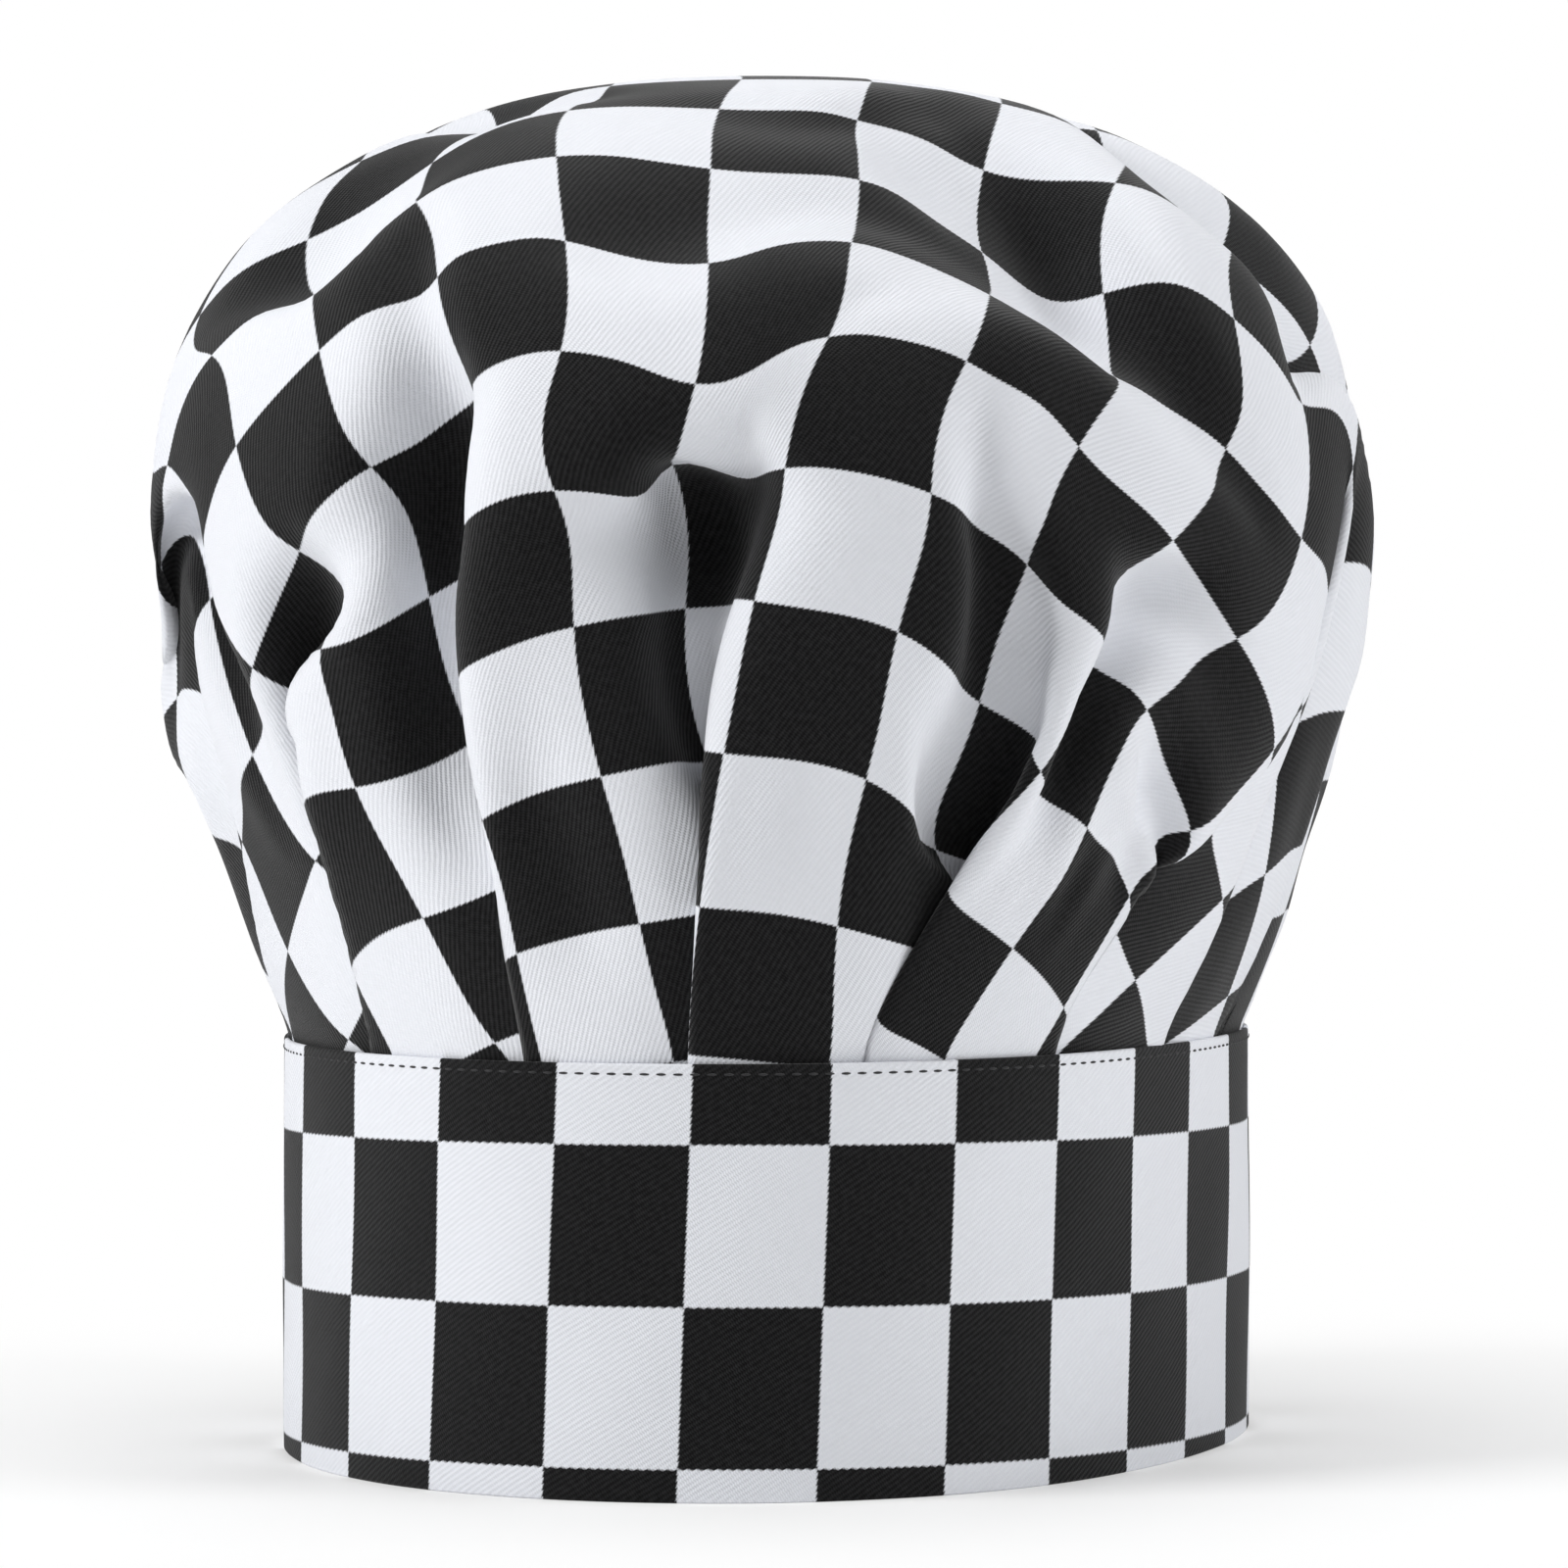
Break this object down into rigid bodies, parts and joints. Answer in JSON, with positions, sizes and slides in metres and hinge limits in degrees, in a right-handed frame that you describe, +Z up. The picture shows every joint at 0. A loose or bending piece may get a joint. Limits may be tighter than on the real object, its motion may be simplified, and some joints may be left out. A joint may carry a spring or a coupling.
{
  "type": "chef toque",
  "caption": "Soft checked chef hat: a gathered disc crown on a folded stand-up band that closes at the back with a hook-and-loop tab.",
  "frame": {"origin": "middle of the hat's box in plan, on the surface that the band's rim stands on", "axes": "+Z up from the rim to the crown's top; the hat's front faces -Y and its back closure faces +Y; +X is to the right seen from the front"},
  "size_m": [0.2238, 0.234, 0.25],
  "materials": {
    "crown_cloth": "poly-cotton twill, black and white one-inch check, matt",
    "band_cloth": "poly-cotton twill, black and white one-inch check, matt",
    "interfacing": "white non-woven sew-in interfacing",
    "thread": "black spun polyester sewing thread",
    "loop_tape": "black brushed loop tape",
    "hook_tape": "black moulded-nylon hook tape"
  },
  "bodies": {
    "hat": {"crown": "crown_cloth", "band_cloth": "band_cloth", "band_interfacing": "interfacing", "band_topstitch_thread": "thread", "band_bobbin_thread": "thread", "loop_tape": "loop_tape", "loop_tape_thread": "thread"},
    "tab": {"tab_cloth": "band_cloth", "tab_interfacing": "interfacing", "tab_thread": "thread", "hook_tape": "hook_tape", "hook_tape_thread": "thread"}
  },
  "joints": [
    {"name": "tab_hinge", "type": "hinge", "parent": "hat", "child": "tab", "pos_m": [0.00011, 0.10681, 0.0375], "axis": [0, 0, -1], "range_deg": [0, 120]}
  ]
}
